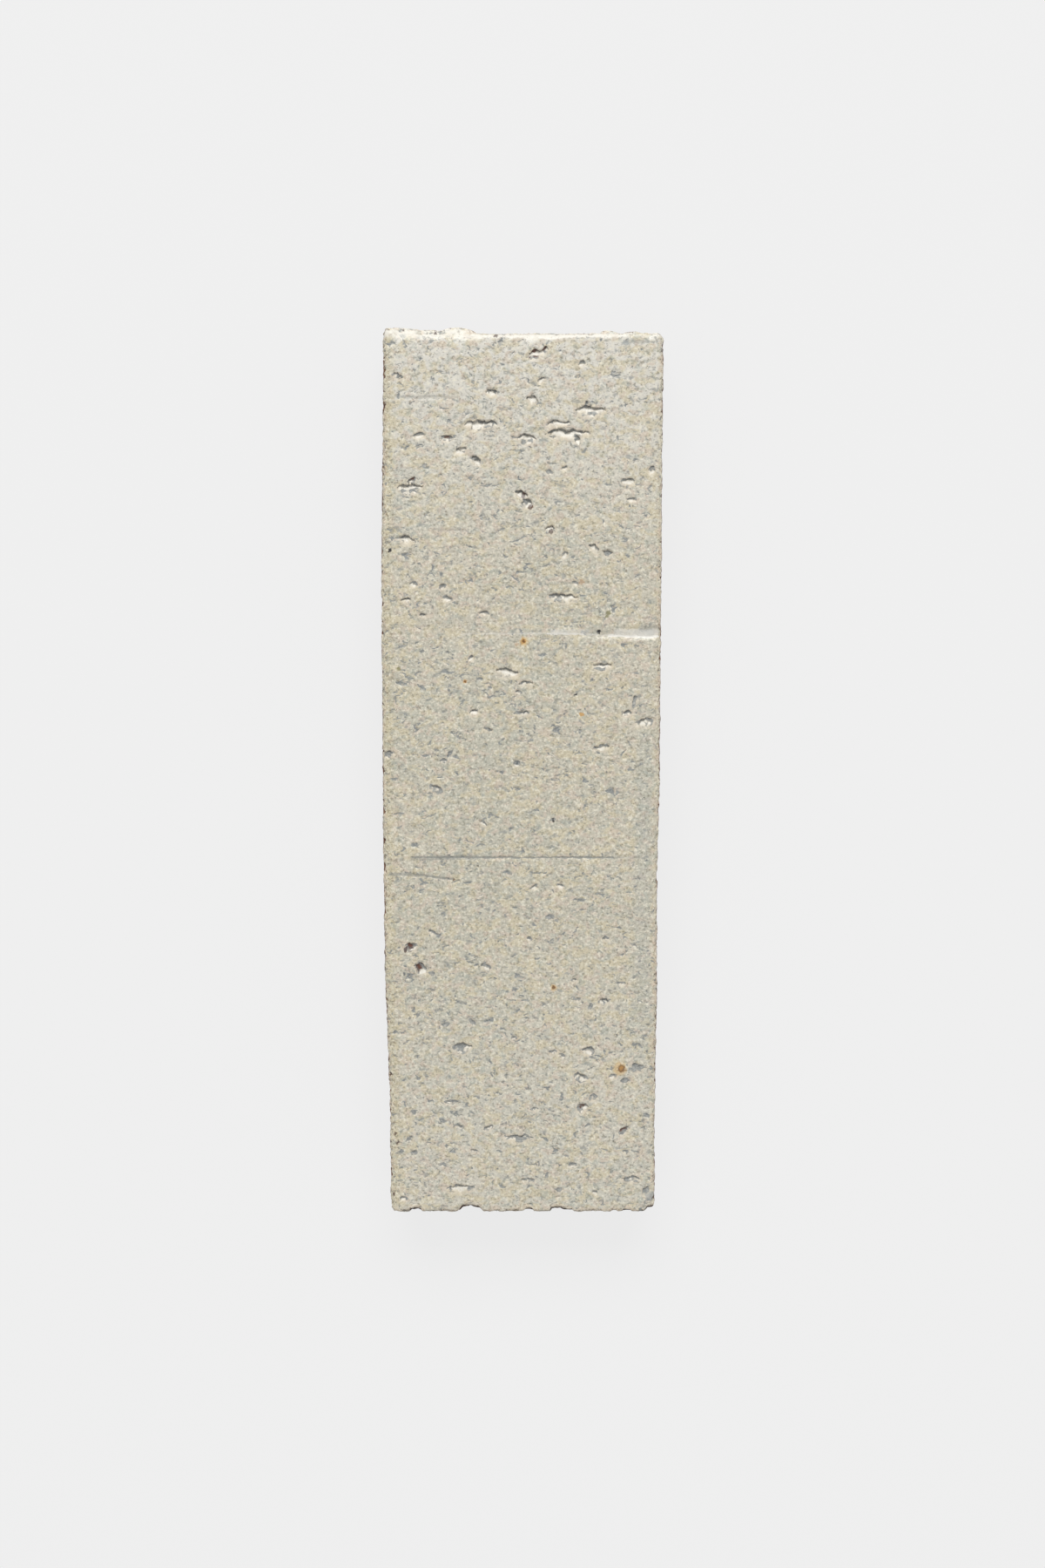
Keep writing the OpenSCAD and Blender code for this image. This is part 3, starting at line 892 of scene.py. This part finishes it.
def glaze_lines(p, at, glaze):
    """The lines that grit dragged, and the stop mark with a painted highlight along it."""
    stopped = p.times(p.step(p.attribute("stop"), 0.1, 0.3), p.step(at.sides, 8.0, 1.5))
    return coated(
        p, glaze,
        (at.dragged, 0.75, "drag line"),
        (stopped, 0.6, "stop pool"),
        # Painted highlights along the stop mark
        (broken_lines(p, STOP_HIGHLIGHTS), 1.0, "stop highlight"),
    )


def raw_clay(p, at):
    """Red-brown clay: streaked along the length, scratched on the cut ends, pitted and sandy, with
    painted shade in the foot's nicks near the top."""
    cloud = p.noise(14, detail=3.0, seed=42)
    streaks = p.noise((1.8, 9, 1.1), detail=3.0, rough=0.6, seed=44)
    scratches = p.noise((0.7, 30, 9), detail=3.0, rough=0.6, seed=44)
    pressed = p.add(p.times(scratches, at.cut_end), p.times(streaks, at.uncut))
    pits = p.noise(1.5, detail=2.0, rough=0.6, seed=45, swirl=0.5)
    # Painted shade inside the foot's nicks, near the top
    nick_shade = p.times(p.step(at.nick, 0.1, 0.4),
                     p.step(p.add(at.down, p.times(at.grit, 1.6)), 2.8, 1.4))
    return coated(
        p, mixed(p, p.step(cloud, 0.35, 0.65), "clay", "pale clay"),
        (p.step(pressed, 0.48, 0.66), 0.4, "pale streak"),
        (p.step(pressed, 0.44, 0.32), 0.35, "dark streak"),
        (p.step(pits, 0.62, 0.7), 0.6, "pit"),
        (p.step(at.sand, 0.53, 0.66), 0.65, "pale sand"),
        (p.step(at.sand, 0.44, 0.34), 0.75, "dark sand"),
        (nick_shade, 0.8, "nick"),
    )


def bare_share(p, at):
    """Where the clay is bare: below the glaze's ragged end, which lies lower at the head, on
    chips, and where the arrises of the cut ends are worn."""
    reach = p.add(at.down, p.times(at.ragged, 0.5), p.times(p.step(at.head, 2.5, 1.0), -0.9),
                  p.times(at.cut_end, p.add(at.grit, -0.5), 5.0))
    chipped = p.add(at.chip, p.times(at.ragged, 0.12))
    worn = p.add(p.math("MINIMUM", at.head, at.foot), p.swing(at.grit, 0.5))
    return p.either(p.step(reach, 1.15, 1.4), p.step(chipped, 0.45, 0.75),
                    p.times(p.step(worn, 0.5, 0.2), at.uncut, 0.65))


def spotted(p, at, colour):
    """The colour with the listed spots on it, their edges broken by the flecks."""
    broken = p.swing(at.flecks, 1.4)
    on_top, lee = p.step(at.down, 2.2, 1.4), p.step(at.tilt, 0.15, -0.05)
    for kind, (strength, places) in SPOTS.items():
        spots = p.either(*[p.near(x, y, radius, broken) for x, y, radius in places])
        # Raw spots only where the surface turns away from the lamp: partly painted shade
        if kind in LEE_SPOTS:
            spots = p.times(spots, lee)
        colour = coated(p, colour, (p.times(spots, on_top), strength, kind))
    return colour


def fine_relief(p, at, bare):
    """The grain that is too fine for the mesh, as a normal."""
    bump = p.nodes.new("ShaderNodeBump")
    bump.inputs["Strength"].default_value = 0.6
    bump.inputs["Distance"].default_value = 0.12 * MM
    relief = p.add(p.times(at.flecks, 0.8), p.times(at.sand, p.add(0.15, p.times(bare, 3.5))),
                   p.times(at.tears, -0.4), p.times(at.crumbs, -0.5), p.times(at.dragged, -0.8),
                   p.times(at.pool, at.grit, 2.0))
    p.plug(bump.inputs["Height"], relief)
    return bump.outputs["Normal"]


def glazed_brick(top):
    """The one material: breaking glaze on the face, top millimetres up, and raw clay below it."""
    material = bpy.data.materials.new("glazed_brick")
    material.use_nodes = True
    shader = material.node_tree.nodes["Principled BSDF"]
    p = Pattern(material.node_tree)
    at = Skin(p, top)
    glaze = glaze_ground(p, at)
    for coat in (glaze_rims, glaze_grain, glaze_in_tears, glaze_lines):
        glaze = coat(p, at, glaze)
    bare = bare_share(p, at)
    colour = spotted(p, at, mixed(p, bare, glaze, raw_clay(p, at)))
    rough = p.add(0.34, p.times(bare, 0.5), p.times(p.step(at.patches, 0.3, 0.7), 0.1))
    p.plug(shader.inputs["Base Color"], colour)
    p.plug(shader.inputs["Roughness"], rough)
    p.plug(shader.inputs["Normal"], fine_relief(p, at, bare))
    return material


def glazed_tile(node):
    """The one piece: the CAD node's skin, roughened, thinned, mapped and glazed."""
    low, high = (np.array(corner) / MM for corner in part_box(NODE))
    piece = voxel_skin(node)
    roughen(piece, low, high)
    thin_out(piece, low, high)
    unwrap(piece)
    for polygon in piece.data.polygons:
        polygon.use_smooth = True
    piece.data.materials.clear()
    piece.data.materials.append(glazed_brick(high[2]))
    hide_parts(NODE)
    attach(piece, "root")


def seen_directly(tree):
    """1 for rays that the camera, a mirror or a glass sends, and 0 for the light on the object."""
    path = tree.nodes.new("ShaderNodeLightPath")
    total = path.outputs["Is Camera Ray"]
    for name in ("Is Glossy Ray", "Is Transmission Ray"):
        node = tree.nodes.new("ShaderNodeMath")
        node.use_clamp = True
        tree.links.new(total, node.inputs[0])
        tree.links.new(path.outputs[name], node.inputs[1])
        total = node.outputs[0]
    return total


def pale_floor():
    """Plain and pale. Where it is seen directly it has a glow of its own, so that shadows on it
    stay faint; the glow lights nothing."""
    material = bpy.data.materials.new("floor")
    material.use_nodes = True
    tree = material.node_tree
    grey = (*linear(FLOOR_GREY, FLOOR_GREY, FLOOR_GREY), 1)
    matt = tree.nodes["Principled BSDF"]
    matt.inputs["Base Color"].default_value = grey
    matt.inputs["Roughness"].default_value = 0.9
    matt.inputs["Specular IOR Level"].default_value = 0.1
    glow = tree.nodes.new("ShaderNodeEmission")
    glow.inputs["Color"].default_value = grey
    share = tree.nodes.new("ShaderNodeMath")
    share.operation = "MULTIPLY"
    share.inputs[1].default_value = FLOOR_GLOW
    tree.links.new(seen_directly(tree), share.inputs[0])
    both = tree.nodes.new("ShaderNodeMixShader")
    tree.links.new(share.outputs[0], both.inputs[0])
    tree.links.new(matt.outputs[0], both.inputs[1])
    tree.links.new(glow.outputs[0], both.inputs[2])
    tree.links.new(both.outputs[0], tree.nodes["Material Output"].inputs["Surface"])
    return material


def floor():
    """A wide floor, a hair below the tile's back."""
    bpy.ops.mesh.primitive_plane_add(size=30, location=(0, 0, -0.0002))
    plane = bpy.context.object
    plane.name = "floor"
    plane.data.materials.append(pale_floor())


def key_lamp():
    """One large soft lamp beyond the head, turned to the tile."""
    lamp = bpy.data.lights.new("key", "AREA")
    lamp.shape = "RECTANGLE"
    lamp.size, lamp.size_y = LAMP_SIZE
    lamp.energy = LAMP_POWER
    key = bpy.data.objects.new("key", lamp)
    key.location = LAMP_AT
    key.rotation_mode = "QUATERNION"
    key.rotation_quaternion = (-key.location).to_track_quat("-Z", "Y")
    bpy.context.scene.collection.objects.link(key)


def sky():
    """An even white sky, paler where it is seen directly than in the light that it gives."""
    world = bpy.data.worlds.new("sky")
    bpy.context.scene.world = world
    world.use_nodes = True
    tree = world.node_tree
    background = tree.nodes["Background"]
    background.inputs["Color"].default_value = (1, 1, 1, 1)
    strength = tree.nodes.new("ShaderNodeMapRange")
    strength.inputs["To Min"].default_value = SKY_LIGHT
    strength.inputs["To Max"].default_value = linear(SKY_GREY)[0]
    tree.links.new(seen_directly(tree), strength.inputs["Value"])
    tree.links.new(strength.outputs["Result"], background.inputs["Strength"])


def camera():
    """Half a metre above the tile, looking a little back from its head end."""
    data = bpy.data.cameras.new("camera")
    data.lens = LENS
    eye = bpy.data.objects.new("camera", data)
    eye.location = Vector(EYE) * MM
    ahead = (Vector(AIM) * MM - eye.location).normalized()
    right = ahead.cross(Vector((0, 1, 0))).normalized()
    eye.rotation_euler = Matrix((right, right.cross(ahead), -ahead)).transposed().to_euler()
    bpy.context.scene.collection.objects.link(eye)
    bpy.context.scene.camera = eye


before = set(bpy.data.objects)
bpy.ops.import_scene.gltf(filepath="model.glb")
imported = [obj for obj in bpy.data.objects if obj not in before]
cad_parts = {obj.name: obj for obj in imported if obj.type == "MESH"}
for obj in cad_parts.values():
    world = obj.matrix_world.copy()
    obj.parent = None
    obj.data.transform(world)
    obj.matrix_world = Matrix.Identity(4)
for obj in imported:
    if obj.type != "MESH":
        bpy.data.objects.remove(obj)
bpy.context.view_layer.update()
floor()
key_lamp()
sky()
camera()
bpy.context.scene.view_settings.view_transform = "Standard"
glazed_tile(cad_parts[NODE])
